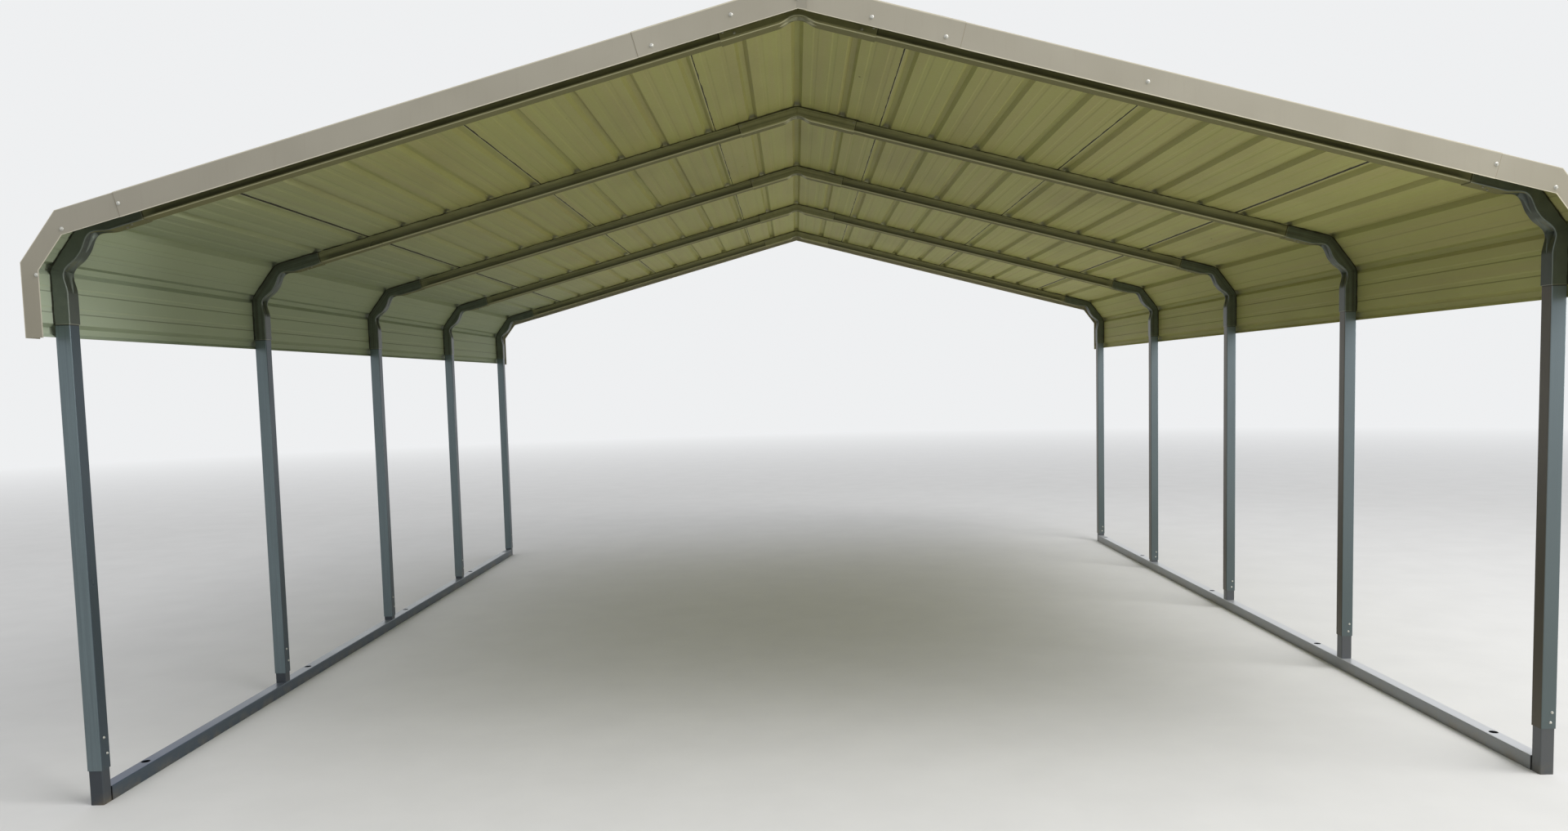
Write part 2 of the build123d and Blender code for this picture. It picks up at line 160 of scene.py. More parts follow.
class Graph:
    """Nodes of a new material or world. An input that is a socket is linked, and any other is set."""

    def __init__(self, owner):
        self.owner = owner
        owner.use_nodes = True
        self.tree = owner.node_tree
        self.tree.nodes.clear()
        coordinates = self.add("ShaderNodeTexCoord")
        self.position = coordinates.outputs["Object"]
        self.normal = coordinates.outputs["Normal"]
        self.direction = coordinates.outputs["Generated"]

    def add(self, kind, inputs=(), **settings):
        node = self.tree.nodes.new(kind)
        for setting, value in settings.items():
            setattr(node, setting, value)
        for key, value in dict(inputs).items():
            if isinstance(value, bpy.types.NodeSocket):
                self.tree.links.new(value, node.inputs[key])
            else:
                node.inputs[key].default_value = value
        return node

    def math(self, operation, *values):
        return self.add("ShaderNodeMath", enumerate(values), operation=operation).outputs[0]

    def times(self, first, second):
        return self.math("MULTIPLY", first, second)

    def between(self, value, low, high):
        """1 where the value is between the two, and 0 elsewhere."""
        return self.times(self.math("GREATER_THAN", value, low), self.math("LESS_THAN", value, high))

    def highest(self, first, *others):
        for other in others:
            first = self.math("MAXIMUM", first, other)
        return first

    def split(self, vector):
        """A vector's x, y and z."""
        return self.add("ShaderNodeSeparateXYZ", {0: vector}).outputs

    def seen(self):
        """1 for what camera, glossy and transmission rays meet, and 0 for the light of other rays."""
        path = self.add("ShaderNodeLightPath")
        rays = ("Is Camera Ray", "Is Glossy Ray", "Is Transmission Ray")
        return self.highest(*[path.outputs[ray] for ray in rays])

    def scaled(self, x, y, z):
        """The position, stretched along each axis by one over these numbers."""
        inputs = {"Vector": self.position, "Scale": (x, y, z)}
        return self.add("ShaderNodeMapping", inputs).outputs[0]

    def noise(self, vector, scale, detail=3.0, roughness=0.55):
        inputs = {"Vector": vector, "Scale": scale, "Detail": detail, "Roughness": roughness}
        return self.add("ShaderNodeTexNoise", inputs).outputs["Fac"]

    def cells(self, scale):
        """A different grey for each crystal of a metal coating."""
        inputs = {"Vector": self.position, "Scale": scale}
        node = self.add("ShaderNodeTexVoronoi", inputs)
        return self.add("ShaderNodeSeparateColor", {0: node.outputs["Color"]}).outputs[0]

    def ramp(self, value, low, high, to_low=0.0, to_high=1.0):
        inputs = enumerate((value, low, high, to_low, to_high))
        return self.add("ShaderNodeMapRange", inputs).outputs[0]

    def mix(self, factor, first, second):
        inputs = {0: factor}
        for key, colour in ((6, first), (7, second)):
            inputs[key] = colour if isinstance(colour, bpy.types.NodeSocket) else (*colour, 1)
        return self.add("ShaderNodeMix", inputs, data_type="RGBA").outputs[2]

    def bump(self, height, distance, strength=1.0, normal=None):
        inputs = {"Height": height, "Distance": distance, "Strength": strength}
        if normal:
            inputs["Normal"] = normal
        return self.add("ShaderNodeBump", inputs).outputs[0]

    def surface(self, **inputs):
        """Ends the material with one Principled shader."""
        keys = {key.replace("_", " "): value for key, value in inputs.items()}
        shader = self.add("ShaderNodeBsdfPrincipled", keys)
        self.add("ShaderNodeOutputMaterial", {0: shader.outputs[0]})
        return self.owner


def new_material(name):
    return Graph(bpy.data.materials.new(name))


def lifts(graph):
    """Distance above the faces of a slope, a slanting facet and an upright part, and the slope's run."""
    place = graph.split(graph.position)
    x = graph.math("ABSOLUTE", place[0])
    z = place[2]
    above = []
    for angle, place_x, place_z in ((ROOF_PITCH, 0.0, PEAK), (FACET_PITCH, HALF_WIDTH, LOWER_BEND)):
        over_x = graph.times(graph.math("SUBTRACT", x, place_x), sin(angle))
        over_z = graph.times(graph.math("SUBTRACT", z, place_z), cos(angle))
        above.append(graph.math("ADD", over_x, over_z))
    above.append(graph.math("SUBTRACT", x, HALF_WIDTH))
    fall = graph.times(graph.math("SUBTRACT", PEAK, z), sin(ROOF_PITCH))
    run = graph.math("ADD", graph.times(x, cos(ROOF_PITCH)), fall)
    return above, run


def outer_side(graph):
    """1 on the roof sheets' weather side and 0 on their underside."""
    x = graph.split(graph.position)[0]
    normal = graph.split(graph.normal)
    start = UPPER_BEND_X - FACING_BLEND
    facing = graph.ramp(graph.math("ABSOLUTE", x), start, HALF_WIDTH, ROOF_PITCH, pi / 2)
    outwards = graph.times(graph.math("SIGN", x), graph.math("SINE", facing))
    sideways = graph.times(normal[0], outwards)
    upwards = graph.times(normal[2], graph.math("COSINE", facing))
    return graph.math("GREATER_THAN", graph.math("ADD", sideways, upwards), 0.0)


def lap_lines(graph, colour):
    """A painted shadow line and a pale cut edge where one roof sheet slides under the next."""
    run = lifts(graph)[1]
    uneven = graph.noise(graph.scaled(1, 3, 1), 3, 3)
    for rib, (narrow, wide) in zip(LAP_RIBS, LAP_SHADOWS):
        width = graph.ramp(uneven, 0.3, 0.7, narrow, wide)
        before = graph.math("SUBTRACT", rib * RIB_PITCH - LAP_EDGE, run)
        pale = graph.between(before, *LAP_CUT)
        colour = graph.mix(graph.times(pale, 0.7), colour, PALE_EDGE_AND_HIGHLIGHT)
        # Painted shadow under the edge of the lapping sheet
        colour = graph.mix(graph.between(before, LAP_CUT[1], width), colour, SPECK_AND_SHADE_DARK)
    return colour


def minor_shade(graph, colour):
    """Painted shade along the lower flank of each minor rib of the slanting and upright parts, and a faint
    painted highlight along the upper flank.
    """
    height = graph.split(graph.position)[2]
    on_drop = graph.math("LESS_THAN", height, LOWER_BEND)
    above_drop = graph.math("SUBTRACT", 1.0, on_drop)
    on_facet = graph.times(above_drop, graph.math("LESS_THAN", height, UPPER_BEND_Z))
    parts = (
        (UPPER_BEND_Z, sin(FACET_PITCH), FACET_LENGTH / 3, on_facet, MINOR_ON_FACET),
        (LOWER_BEND, 1.0, RIB_PITCH / 3, on_drop, 1.0),
    )
    for bend, steep, third, here, share in parts:
        phase = graph.math("DIVIDE", graph.math("SUBTRACT", bend, height), steep * third)
        nearest = graph.math("ROUND", phase)
        past = graph.times(graph.math("SUBTRACT", phase, nearest), third)
        minor = graph.math("GREATER_THAN", graph.math("MODULO", nearest, 3.0), 0.5)
        for flank, strength, shade in MINOR_LINES:
            band = graph.times(graph.times(graph.between(past, *flank), minor), here)
            colour = graph.mix(graph.times(band, share * strength), colour, shade)
    return colour


def sheet_material():
    """Ribbed roof sheet: beige paint outside, and underneath a pale backer coat tinted khaki as painted
    green bounce light.
    """
    graph = new_material("roof_sheet")
    broad = graph.noise(graph.scaled(1, 0.35, 1), 2.2, 2)
    rolled = graph.noise(graph.scaled(5, 0.12, 5), 5, 3)
    fine = graph.noise(graph.position, 60, 3)
    weather = graph.mix(graph.ramp(broad, 0.35, 0.7), BEIGE, BEIGE_DUSTY)
    weather = graph.mix(graph.ramp(rolled, 0.5, 0.8, 0, 0.3), weather, DUST)
    backer = graph.mix(graph.ramp(rolled, 0.38, 0.66, 0.1, 0.75), KHAKI, KHAKI_BROWN)
    backer = graph.mix(graph.ramp(broad, 0.5, 0.75, 0, 0.25), backer, DUST)
    across = graph.split(graph.position)[0]
    # Painted skylight: the underside turns grey-green towards the left side
    backer = graph.mix(graph.ramp(across, *SKYLIT_SIDE, 0, 0.85), backer, SKYLIT_GREY_GREEN)
    spots = graph.add("ShaderNodeTexVoronoi", {"Vector": graph.position, "Scale": 5.5})
    specks = graph.ramp(spots.outputs["Distance"], 0.034, 0.022)
    sparse = graph.times(specks, graph.ramp(broad, 0.5, 0.56))
    backer = graph.mix(sparse, backer, SPECK_AND_SHADE_DARK)
    backer = minor_shade(graph, lap_lines(graph, backer))
    side = outer_side(graph)
    colour = graph.mix(side, backer, weather)
    matt = graph.ramp(fine, 0.3, 0.7, 0.5, 0.62)
    roughness = graph.math("SUBTRACT", matt, graph.times(side, 0.14))
    waves = graph.bump(graph.noise(graph.scaled(1, 0.4, 1), 3.2, 1), 0.006, 0.35)
    waves = graph.bump(rolled, 0.002, 0.3, waves)
    gloss = graph.ramp(side, 0, 1, 0.12, 0.5)
    grain = graph.bump(fine, 0.0002, 0.3, waves)
    return graph.surface(Base_Color=colour, Roughness=roughness, Specular_IOR_Level=gloss, Normal=grain)


def trim_material():
    """Folded rake trim: beige paint with a soft sheen, faint dents and run marks, painted highlights along
    its top fold and hem, and painted shade on its lower faces.
    """
    graph = new_material("rake_trim")
    broad = graph.noise(graph.position, 3, 2)
    runs = graph.noise(graph.scaled(14, 14, 1.2), 5, 4)
    fine = graph.noise(graph.position, 80, 3)
    colour = graph.mix(graph.ramp(broad, 0.3, 0.7, 0, 0.7), BEIGE, BEIGE_DUSTY)
    colour = graph.mix(graph.ramp(runs, 0.55, 0.85, 0, 0.1), colour, DUST)
    above, run = lifts(graph)
    top = graph.highest(*above)
    low = graph.highest(*[graph.math("ADD", lift, hem) for lift, hem in zip(above, TRIM_HEMS)])
    # Painted highlights along the top fold and the hem, on the faces that look to the front and back
    edge = graph.highest(graph.ramp(top, *TRIM_TOP_HIGHLIGHT), graph.ramp(low, *TRIM_HEM_HIGHLIGHT))
    height = graph.split(graph.position)[2]
    # Painted shade on the slanting and upright faces low down
    colour = graph.mix(graph.ramp(height, *TRIM_SHADED, 0, 0.55), colour, BEIGE_SHADED)
    for seam in (RIDGE_TRIM_END, RAKE_END):
        line = graph.between(graph.math("SUBTRACT", run, seam), *TRIM_SEAM)
        colour = graph.mix(graph.times(line, 0.5), colour, DUST)
    faces_end = graph.math("ABSOLUTE", graph.split(graph.normal)[1])
    colour = graph.mix(graph.times(edge, graph.ramp(faces_end, 0.5, 0.9)), colour, BEIGE_HIGHLIGHT)
    roughness = graph.ramp(fine, 0.3, 0.7, 0.34, 0.46)
    dents = graph.bump(graph.noise(graph.position, 4.5, 1), 0.008, 0.4)
    grain = graph.bump(fine, 0.0002, 0.3, dents)
    return graph.surface(Base_Color=colour, Roughness=roughness, Normal=grain)


def sleeve_ends(graph, colour, sleeve):
    """A painted highlight on the cut edge at each end of a sleeve, and a painted shadow line beside it on
    the tube inside.
    """
    run = lifts(graph)[1]
    height = graph.split(graph.position)[2]
    beyond = [
        graph.math("SUBTRACT", run, RIDGE_SLEEVE_END),
        graph.math("SUBTRACT", ELBOW_END, run),
        graph.math("SUBTRACT", ELBOW_FOOT, height),
    ]
    for past in beyond:
        if sleeve:
            band = graph.between(past, *SLEEVE_END_HIGHLIGHT)
            colour = graph.mix(graph.times(band, 0.3), colour, ZINC_END_HIGHLIGHT)
        else:
            outside = graph.math("GREATER_THAN", past, SLEEVE_SHADOW_START)
            band = graph.times(outside, graph.ramp(past, *SLEEVE_SHADOW))
            colour = graph.mix(graph.times(band, 0.8), colour, SPECK_AND_SHADE_DARK)
    return colour


def under_roof_shade(graph, colour, turned_down, depth):
    """Painted shade in streaks along the bows, down towards the lower corner and on the underside, a
    painted highlight along the corner, and a painted shadow line on top.
    """
    above, run = lifts(graph)
    slope = above[0]
    top = graph.highest(*above)
    along = graph.split(graph.position)[1]
    drawn = [graph.times(value, scale) for value, scale in zip((run, along, top), BOW_STREAKS)]
    streaks = graph.noise(graph.add("ShaderNodeCombineXYZ", enumerate(drawn)).outputs[0], 1.0, 3)
    colour = graph.mix(graph.ramp(streaks, 0.5, 0.3, 0, 0.6), colour, ZINC_SHADED)
    on_slope = graph.ramp(run, *BEFORE_BEND)
    # Painted shade down the lower part of the front and back faces
    lower = graph.times(graph.ramp(slope, *BOW_LOWER_FACE, 0, depth), on_slope)
    colour = graph.mix(lower, colour, ZINC_SHADED)
    # A painted highlight along the rounded lower corner
    corner = graph.times(graph.ramp(slope, *BOW_CORNER_HIGHLIGHT), on_slope)
    colour = graph.mix(graph.times(corner, 0.7), colour, ZINC_CORNER_HIGHLIGHT)
    # Painted shade on the faces turned downwards
    colour = graph.mix(graph.times(turned_down, 0.92), colour, ZINC_UNDER_SHADED)
    # A painted shadow line along the top, where the sheets rest on the bow
    reach = graph.ramp(graph.noise(graph.position, 22, 3), 0.3, 0.7, *SHADOW_GAP_REACH)
    shadow_gap = graph.math("GREATER_THAN", top, reach)
    return graph.mix(graph.times(shadow_gap, 0.85), colour, SPECK_AND_SHADE_DARK)


def facing_outwards(graph, across):
    """1 on a face that looks away from the carport's middle plane, and -1 on one that looks at it."""
    return graph.times(graph.split(graph.normal)[0], graph.math("SIGN", across))


def leg_shade(graph, colour):
    """The right legs are painted as more lit, with painted shade low down, and the inner sides of all the
    legs carry painted shade.
    """
    place = graph.split(graph.position)
    right = graph.math("GREATER_THAN", place[0], 0.0)
    colour = graph.mix(graph.times(right, 0.8), colour, ZINC_LEGS_RIGHT_LIT)
    low = graph.times(right, graph.ramp(place[2], *LOW_LEG, 0, 0.65))
    colour = graph.mix(low, colour, ZINC_LEGS_LOW_SHADED)
    # Painted shade on the legs' inner sides
    inner = graph.mix(right, SHADED_INNER_LEFT, SHADED_INNER_RIGHT)
    inwards = graph.ramp(facing_outwards(graph, place[0]), -0.4, -0.95, 0, 0.85)
    return graph.mix(inwards, colour, inner)


def elbow_shade(graph, colour):
    """Painted shade on the inner sides of the elbows' legs and crushed bends."""
    across = graph.split(graph.position)[0]
    inwards = graph.ramp(facing_outwards(graph, across), -0.6, -0.97, 0, 0.75)
    away = graph.math("GREATER_THAN", graph.math("ABSOLUTE", across), ELBOW_SIDE)
    return graph.mix(graph.times(inwards, away), colour, SHADED_INNER_ELBOW)


def stub_shade(graph, colour):
    """The rails' tops are pale with painted light, above all the right one, whose whole rail is painted
    sunlit. The ends and the stubs' faces are darker with painted shade.
    """
    across, along, height = graph.split(graph.position)
    right = graph.math("GREATER_THAN", across, 0.0)
    colour = graph.mix(graph.times(right, 0.8), colour, ZINC_RAIL_RIGHT_SUNLIT)
    normal = graph.split(graph.normal)
    # Painted light on the rails' tops: shaded at the left rail's front, lit further back, and sunlit on
    # the right rail
    left_top = graph.mix(graph.ramp(along, *RAIL_TOP_FADE), RAIL_TOP_FRONT_SHADED, RAIL_TOP_BACK_LIT)
    top = graph.mix(right, left_top, RAIL_TOP_RIGHT_SUNLIT)
    colour = graph.mix(graph.ramp(normal[2], 0.5, 0.9, 0, 0.85), colour, top)
    # Painted shade on the ends and the stubs' upright faces
    ends = graph.ramp(graph.math("ABSOLUTE", normal[1]), 0.7, 0.95)
    post = graph.ramp(graph.math("ABSOLUTE", along), *END_STUB)
    upright = graph.highest(ends, post, graph.ramp(height, *STUB_FOOT))
    return graph.mix(graph.times(upright, 0.75), colour, ZINC_STUB_SHADED)


PART_SHADES = {"leg": leg_shade, "sleeve": elbow_shade, "rail": stub_shade}


def galvanised(name, bright, dull, part, dust_height=0.0):
    """Zinc-coated tube: crystals, mill streaks along the tube, dull patches, and dust near the ground."""
    graph = new_material(name)
    lines = graph.noise(graph.scaled(*STREAKS[part]), 8, 4)
    patches = graph.noise(graph.position, 4, 1, 0.5)
    crystals = graph.cells(90)
    colour = graph.mix(graph.ramp(lines, 0.3, 0.72, 0.15, 0.75), bright, dull)
    colour = graph.mix(graph.ramp(crystals, 0, 1, 0, 0.12), colour, dull)
    colour = graph.mix(graph.ramp(patches, 0.3, 0.8, 0, 0.3), colour, bright)
    if part in PART_SHADES:
        colour = PART_SHADES[part](graph, colour)
    if dust_height:
        height = graph.split(graph.position)[2]
        specks = graph.noise(graph.position, 9, 4, 0.6)
        dusty = graph.times(graph.ramp(height, dust_height, 0.0), graph.ramp(specks, 0.42, 0.68))
        colour = graph.mix(graph.times(dusty, 0.6), colour, DUST)
    if part != "rail":
        colour = sleeve_ends(graph, colour, part == "sleeve")
    roughness = graph.ramp(patches, 0.2, 0.8, 0.27, 0.37)
    bumps = graph.bump(graph.noise(graph.position, 120, 2), 0.0001, 0.25)
    if part in ("leg", "rail"):
        return graph.surface(Base_Color=colour, Metallic=0.5, Roughness=roughness, Normal=bumps)
    turned_down = graph.ramp(graph.split(graph.normal)[2], -0.75, -0.93)
    colour = under_roof_shade(graph, colour, turned_down, 0.3 if part == "sleeve" else 0.85)
    roughness = graph.math("ADD", roughness, graph.times(turned_down, 0.35))
    shine = graph.ramp(turned_down, 0, 1, 0.5, 0.1)
    return graph.surface(Base_Color=colour, Metallic=shine, Roughness=roughness,
                         Specular_IOR_Level=shine, Normal=bumps)


def screw_material(name, bright, dull):
    """Zinc-plated screw heads, a little worn."""
    graph = new_material(name)
    worn = graph.noise(graph.position, 300, 3)
    colour = graph.mix(graph.ramp(worn, 0.35, 0.65), bright, dull)
    roughness = graph.ramp(worn, 0.3, 0.7, 0.28, 0.45)
    return graph.surface(Base_Color=colour, Metallic=0.6, Roughness=roughness)


def rubber_material():
    """Black sealing washers under the roof screws."""
    graph = new_material("washer_rubber")
    grain = graph.noise(graph.position, 500, 3)
    colour = graph.mix(grain, RUBBER, RUBBER_WORN)
    return graph.surface(Base_Color=colour, Roughness=graph.ramp(grain, 0.3, 0.7, 0.6, 0.8))


def finish_node(node, material):
    """Gives every slot of a node one material."""
    for slot in node.material_slots:
        slot.material = material


finishes = {
    "roof_sheet": sheet_material(),
    "rake_trim": trim_material(),
    "corner_trims": trim_material(),
    "leg": galvanised("zinc_legs", ZINC_LEGS, ZINC_LEGS_DULL, "leg", LEG_DUST),
    "base_rail": galvanised("zinc_rails", ZINC_RAILS_SHADED, ZINC_RAILS_DULL_SHADED, "rail", RAIL_DUST),
    "rafters": galvanised("zinc_rafters", ZINC_BOWS, ZINC_BOWS_DULL, "rafter"),
    "elbow": galvanised("zinc_elbows", ZINC_ELBOWS_SHADED, ZINC_ELBOWS_DULL_SHADED, "sleeve"),
    "ridge_sleeve": galvanised("zinc_ridge", ZINC_BOWS, ZINC_BOWS_DULL, "sleeve"),
}
for name, node in nodes.items():
    for start, material in finishes.items():
        if name.startswith(start):
            finish_node(node, material)


# Screws. Each part of one is a list of rings, given as (radius, height).
ROUND_SIDES, HEX_SIDES = 14, 6
RUBBER_RING = [(0.0070, -0.0003), (0.0070, 0.0007)]
DISHED_WASHER = [(0.0074, 0.0006), (0.0073, 0.0010), (0.0055, 0.0016)]
HEAD_FLANGE = [(0.0053, -0.0002), (0.0053, 0.0006), (0.0046, 0.0010)]
HEX_HEAD = [(0.0045, 0.0007), (0.0045, 0.0034), (0.0038, 0.0040)]
WASHER_HEIGHT = 0.0013
HEAD_TURN = 2.4


def rings(mesh, matrix, profile, sides, material):
    """A closed turned or hexagonal form from (radius, height) rings, seen along its axis."""
    loops = []
    for radius, height in profile:
        angles = [2 * pi * index / sides for index in range(sides)]
        places = [Vector((radius * cos(a), radius * sin(a), height)) for a in angles]
        loops.append([mesh.verts.new(matrix @ place) for place in places])
    faces = [mesh.faces.new(list(reversed(loops[0]))), mesh.faces.new(loops[-1])]
    for low, high in zip(loops, loops[1:]):
        for index in range(sides):
            after = (index + 1) % sides
            faces.append(mesh.faces.new((low[index], low[after], high[after], high[index])))
    for face in faces:
        face.material_index = material


def add_screw(mesh, place, outward, turn, sealed):
    """A hex-washer-head screw that stands on a surface, on a dished sealing washer where it is sealed."""
    rotation = Vector(outward).to_track_quat("Z", "Y").to_matrix().to_4x4()
    lift = WASHER_HEIGHT if sealed else 0.0
    matrix = Matrix.Translation(place) @ rotation @ Matrix.Rotation(turn, 4, "Z")
    if sealed:
        rings(mesh, matrix, RUBBER_RING, ROUND_SIDES, 1)
        rings(mesh, matrix, DISHED_WASHER, ROUND_SIDES, 0)
    raised = matrix @ Matrix.Translation((0, 0, lift))
    rings(mesh, raised, HEAD_FLANGE, ROUND_SIDES, 0)
    rings(mesh, raised, HEX_HEAD, HEX_SIDES, 0)


def screw_piece(name, screws, sealed, zinc):
    """One piece from a list of (place, outward) pairs, each head turned a little differently."""
    mesh = bmesh.new()
    for index, (place, outward) in enumerate(screws):
        add_screw(mesh, place, outward, index * HEAD_TURN, sealed)
    data = bpy.data.meshes.new(name)
    mesh.to_mesh(data)
    mesh.free()
    piece = bpy.data.objects.new(name, data)
    bpy.context.scene.collection.objects.link(piece)
    data.materials.append(zinc)
    data.materials.append(rubber)
    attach(piece, "root")


def slope_place(side, run, lift, y):
    """Place on a roof slope: run from the ridge, lift above the ridge sleeves' top."""
    x = run * cos(ROOF_PITCH) + lift * sin(ROOF_PITCH)
    z = PEAK - run * sin(ROOF_PITCH) + lift * cos(ROOF_PITCH)
    return Vector((side * x, y, z))


def facet_place(side, run, lift, y):
    """Place on the slanting facet: run from the upper bend, lift outwards."""
    x = HALF_WIDTH - (FACET_LENGTH - run) * cos(FACET_PITCH) + lift * sin(FACET_PITCH)
    z = LOWER_BEND + (FACET_LENGTH - run) * sin(FACET_PITCH) + lift * cos(FACET_PITCH)
    return Vector((side * x, y, z))


def outward_of(side, angle):
    """Outward direction of a roof face that falls at this angle."""
    return Vector((side * sin(angle), 0, cos(angle)))


def node_centre(name):
    low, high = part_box(name)
    return (low + high) / 2


bright_zinc = screw_material("screw_zinc", SCREW_BRIGHT, SCREW_BRIGHT_WORN)
dull_zinc = screw_material("screw_dull", SCREW_DULL, SCREW_DULL_WORN)
rubber = rubber_material()

# Roof screws, beside each rib on every bow and on its slanting and upright parts
frame_rows = [node_centre(f"elbow_right_{index}").y for index in FRAMES]
BESIDE_RIB = 0.045
DROP_SPOTS = (BESIDE_RIB, 0.184)
ON_SLEEVE = 0.00095
RIBS_ON_SLEEVE = 2
roof_screws = []
for y in frame_rows:
    for side in SIDES.values():
        for rib in range(RIBS_TO_BEND):
            run = rib * RIB_PITCH + BESIDE_RIB
            near_sleeve = rib < RIBS_ON_SLEEVE or rib >= RIBS_TO_BEND - RIBS_ON_SLEEVE
            lift = ON_SLEEVE if near_sleeve else ON_SLEEVE - SLEEVE_STEP
            roof_screws.append((slope_place(side, run, lift, y), outward_of(side, ROOF_PITCH)))
        place = facet_place(side, FACET_LENGTH / 2, ON_SLEEVE, y)
        roof_screws.append((place, outward_of(side, FACET_PITCH)))
        for drop in DROP_SPOTS:
            place = Vector((side * (HALF_WIDTH + ON_SLEEVE), y, LOWER_BEND - drop))
            roof_screws.append((place, outward_of(side, pi / 2)))
screw_piece("roof_screws", roof_screws, True, bright_zinc)

# Stitch screws on the laps, between the frames
ON_LAP = RIB_HEIGHT + 2 * SHEET + 0.0003
MIDDLE_LAP = LAP_RIBS[1]
stitch_screws = []
for first, second in zip(frame_rows, frame_rows[1:]):
    for side in SIDES.values():
        for rib in LAP_RIBS:
            lift = ON_LAP if rib != MIDDLE_LAP else ON_LAP - SLEEVE_STEP
            place = slope_place(side, rib * RIB_PITCH, lift, (first + second) / 2)
            stitch_screws.append((place, outward_of(side, ROOF_PITCH)))
screw_piece("stitch_screws", stitch_screws, True, bright_zinc)

# Screws through the trim's faces and flanges, the same at both ends. A spot on a face is
# (run, lift, level), with level 0 on a corner trim, 1 on a rake trim and 2 on a ridge trim.
TRIM_LEVEL = 0.001
CORNER_FLANGE = 0.0219
FLANGE_INSET = 0.038
RIDGE_TRIM_RIBS, RAKE_TRIM_RIBS = 3, 11
corner_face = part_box("corner_trims_rear")[1].y
flange_line = corner_face - FLANGE_INSET
FACE_SPOTS = {
    "left": [(0.544, -0.042, 2), (0.248, -0.021, 2), (2.521, -0.021, 1), (2.745, -0.048, 0)],
    "right": [
        (0.544, -0.042, 2), (0.276, -0.037, 2), (1.266, -0.028, 1), (2.521, -0.019, 1), (2.745, -0.048, 0),
    ],
}
LOWER_CORNER_X, LOWER_CORNER_Z = 2.742, 1.994
TAB_FRONT, TAB_SPOT_Z = 0.0030, 2.874
trim_screws = []
for end in (-1, 1):
    facing = Vector((0, end, 0))
    trim_screws.append((Vector((0, end * (corner_face + TAB_FRONT), TAB_SPOT_Z)), facing))
    for name, side in SIDES.items():
        for run, lift, level in FACE_SPOTS[name]:
            y = end * (corner_face + level * TRIM_LEVEL)
            trim_screws.append((slope_place(side, run, lift, y), facing))
        trim_screws.append((Vector((side * LOWER_CORNER_X, end * corner_face, LOWER_CORNER_Z)), facing))
        for rib in range(1, RIBS_TO_BEND):
            level = (rib < RIDGE_TRIM_RIBS) + (rib < RAKE_TRIM_RIBS)
            lift = CORNER_FLANGE + level * TRIM_LEVEL
            place = slope_place(side, rib * RIB_PITCH, lift, end * flange_line)
            trim_screws.append((place, outward_of(side, ROOF_PITCH)))
screw_piece("trim_screws", trim_screws, True, bright_zinc)

# Plain screws that join the tubes: (run, lift) on a ridge sleeve, (run, offset) under an elbow,
# and (height, shift) on a leg or on the elbow above it
HALF_SLEEVE = 0.031535
HALF_LEG = 0.028575
SLEEVE_DEPTH = 0.06307
FRONT_RIDGE_SPOTS = ((0.243, -0.018), (0.250, -0.045), (0.291, -0.031))
RIDGE_SPOTS = ((0.294, -0.018),)
UNDER_SPOTS = ((2.571, -0.020), (2.599, 0.0))
RIGHT_LEG_SPOTS = ((0.024, 0.006), (0.062, 0.011))
LEFT_LEG_SPOTS = ((0.058, 0.010), (0.123, -0.004))
ELBOW_SPOTS = ((0.028, -0.010), (0.075, 0.008))
tube_screws = []
leg_screws = []
for index, y in zip(FRAMES, frame_rows):
    for name, side in SIDES.items():
        for end in (-1, 1):
            facing = Vector((0, end, 0))
            for run, lift in FRONT_RIDGE_SPOTS if index == 1 else RIDGE_SPOTS:
                tube_screws.append((slope_place(side, run, lift, y + end * HALF_SLEEVE), facing))
        inwards = -outward_of(side, ROOF_PITCH)
        for run, offset in UNDER_SPOTS:
            tube_screws.append((slope_place(side, run, -SLEEVE_DEPTH, y + offset), inwards))
        leg_low, leg_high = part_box(f"leg_{name}_{index}")
        middle = (leg_low.x + leg_high.x) / 2
        sleeve_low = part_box(f"elbow_{name}_{index}")[0].z
        if side > 0:
            for height, shift in RIGHT_LEG_SPOTS:
                place = Vector((middle + shift, y - HALF_LEG, leg_low.z + height))
                leg_screws.append((place, Vector((0, -1, 0))))
        else:
            for height, shift in LEFT_LEG_SPOTS:
                place = Vector((middle + HALF_LEG, y + shift, leg_low.z + height))
                leg_screws.append((place, Vector((1, 0, 0))))
        for height, shift in ELBOW_SPOTS:
            place = Vector((middle + shift, y + HALF_SLEEVE, sleeve_low + height))
            leg_screws.append((place, Vector((0, 1, 0))))
screw_piece("tube_screws", tube_screws, False, dull_zinc)
screw_piece("leg_screws", leg_screws, False, bright_zinc)


# Studio: a pale floor that fades into an equally pale backdrop, and soft lamps
FLOOR_SIDES = 96
FLOOR_RADIUS = 120
FLOOR_FADE = (9.0, 26.0)
GROUND_TINT = (-2.5, 4.0)
ROOF_SHADE_SIDE = (2.9, 2.3)
ROOF_SHADE_END = (3.5, 2.8)
ROOF_SHADE_TINT = (-1.6, 1.2)
LEFT_SHARE = 0.78


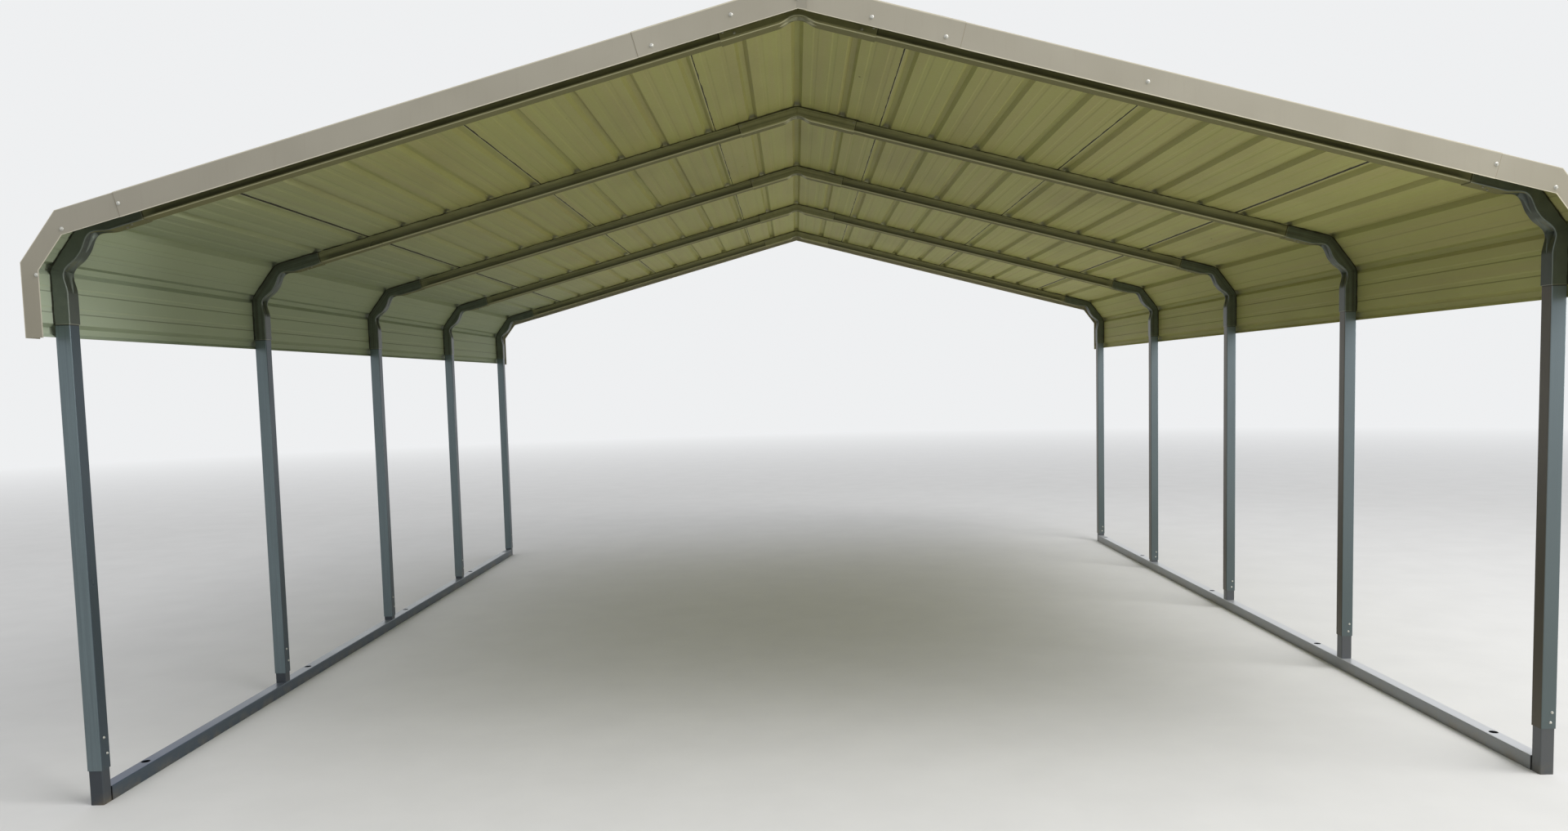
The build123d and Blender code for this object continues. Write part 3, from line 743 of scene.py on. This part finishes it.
def floor_material():
    """Pale floor that keeps the shadow and fades away. The light it throws back is that of darker ground,
    with painted shade under the roof, painted sunlight to the right, and paler under the far end.
    """
    graph = new_material("studio_floor")
    grain = graph.noise(graph.position, 3, 3)
    pale = graph.mix(graph.ramp(grain, 0.3, 0.7), FLOOR_DULL, FLOOR_PALE)
    place = graph.split(graph.position)
    ground = graph.mix(graph.ramp(place[0], *GROUND_TINT), GROUND_LEFT, GROUND_RIGHT_SUNLIT)
    # Painted shade under the roof in the light that the floor throws back
    beside = graph.ramp(graph.math("ABSOLUTE", place[0]), *ROOF_SHADE_SIDE)
    under = graph.times(beside, graph.ramp(graph.math("ABSOLUTE", place[1]), *ROOF_SHADE_END))
    shade = graph.mix(graph.ramp(place[1], *ROOF_SHADE_TINT), GROUND_SHADE, GROUND_FAR)
    ground = graph.mix(under, ground, shade)
    seen = graph.seen()
    colour = graph.mix(seen, ground, pale)
    shader = graph.add("ShaderNodeBsdfPrincipled", {"Base Color": colour, "Roughness": 0.8})
    glow = graph.add("ShaderNodeEmission", {"Color": (*BACKDROP, 1), "Strength": 1.0})
    distance = graph.add("ShaderNodeVectorMath", {0: graph.position}, operation="LENGTH").outputs["Value"]
    far = graph.times(graph.ramp(distance, *FLOOR_FADE), seen)
    blend = graph.add("ShaderNodeMixShader", {0: far, 1: shader.outputs[0], 2: glow.outputs[0]})
    graph.add("ShaderNodeOutputMaterial", {0: blend.outputs[0]})
    return graph.owner


def floor_piece():
    """Large round floor at z = 0."""
    mesh = bmesh.new()
    bmesh.ops.create_circle(mesh, cap_ends=True, segments=FLOOR_SIDES, radius=FLOOR_RADIUS)
    data = bpy.data.meshes.new("studio_floor")
    mesh.to_mesh(data)
    mesh.free()
    floor = bpy.data.objects.new("studio_floor", data)
    bpy.context.scene.collection.objects.link(floor)
    data.materials.append(floor_material())


def world_light(strength):
    """Soft light from all round, a little more of it from the open right side, and the pale backdrop."""
    graph = Graph(bpy.data.worlds.new("studio"))
    level = graph.ramp(graph.split(graph.direction)[0], -1, 1, LEFT_SHARE * strength, strength)
    even = graph.add("ShaderNodeBackground", {"Color": (1, 1, 1, 1), "Strength": level})
    pale = graph.add("ShaderNodeBackground", {"Color": (*BACKDROP, 1), "Strength": 1.0})
    inputs = {0: graph.seen(), 1: even.outputs[0], 2: pale.outputs[0]}
    mix = graph.add("ShaderNodeMixShader", inputs)
    graph.add("ShaderNodeOutputWorld", {0: mix.outputs[0]})
    bpy.context.scene.world = graph.owner


def lamp(name, place, target, size, watts, colour):
    """Soft square lamp aimed at a point."""
    light = bpy.data.lights.new(name, "AREA")
    light.size = size
    light.energy = watts
    light.color = colour
    holder = bpy.data.objects.new(name, light)
    holder.location = place
    aim = Vector(target) - Vector(place)
    holder.rotation_euler = aim.to_track_quat("-Z", "Y").to_euler()
    bpy.context.scene.collection.objects.link(holder)


def low_light(name, source, strength, spread, colour):
    """Faint, even light from far off at one side, as bright surroundings give."""
    light = bpy.data.lights.new(name, "SUN")
    light.energy = strength
    light.angle = spread
    light.color = colour
    holder = bpy.data.objects.new(name, light)
    holder.rotation_euler = Vector(source).to_track_quat("Z", "Y").to_euler()
    bpy.context.scene.collection.objects.link(holder)


floor_piece()
world_light(strength=0.78)
lamp("key", place=(6.5, -6.0, 9.0), target=(0, 0, 1), size=7.0, watts=900, colour=(1.0, 0.98, 0.95))
low_light("side", source=(22.0, -3.0, 1.3), strength=0.62, spread=0.12, colour=(1.0, 1.0, 0.93))

# Camera at the photograph's place, turned as it was, in radians
CAMERA_PLACE = Vector((-0.0397, -7.1809, 1.5452))
CAMERA_YAW, CAMERA_PITCH, CAMERA_ROLL = 0.0124, -0.0729, -0.0258
PHOTO_WIDTH = 1920
FOCAL_PIXELS = 1360.3
# The photograph is cropped: its optical axis lies this far below its middle
AXIS_DROP_PIXELS = 57.9
FARTHEST_SEEN = 500


def photo_camera():
    """Camera with the fitted place, turn and focal length, and with the axis where the crop left it."""
    ahead = Vector((-sin(CAMERA_YAW), cos(CAMERA_YAW), 0))
    level = Vector((cos(CAMERA_YAW), sin(CAMERA_YAW), 0))
    up = Vector((0, 0, 1))
    forward = cos(CAMERA_PITCH) * ahead + sin(CAMERA_PITCH) * up
    above = -sin(CAMERA_PITCH) * ahead + cos(CAMERA_PITCH) * up
    right = cos(CAMERA_ROLL) * level + sin(CAMERA_ROLL) * above
    top = -sin(CAMERA_ROLL) * level + cos(CAMERA_ROLL) * above
    data = bpy.data.cameras.new("photo_camera")
    data.sensor_fit = "HORIZONTAL"
    data.lens = data.sensor_width * FOCAL_PIXELS / PHOTO_WIDTH
    data.shift_y = AXIS_DROP_PIXELS / PHOTO_WIDTH
    data.clip_end = FARTHEST_SEEN
    camera = bpy.data.objects.new("photo_camera", data)
    rotation = Matrix((right, top, -forward)).transposed()
    camera.matrix_world = Matrix.Translation(CAMERA_PLACE) @ rotation.to_4x4()
    bpy.context.scene.collection.objects.link(camera)
    bpy.context.scene.camera = camera


photo_camera()
bpy.context.scene.view_settings.view_transform = "Standard"
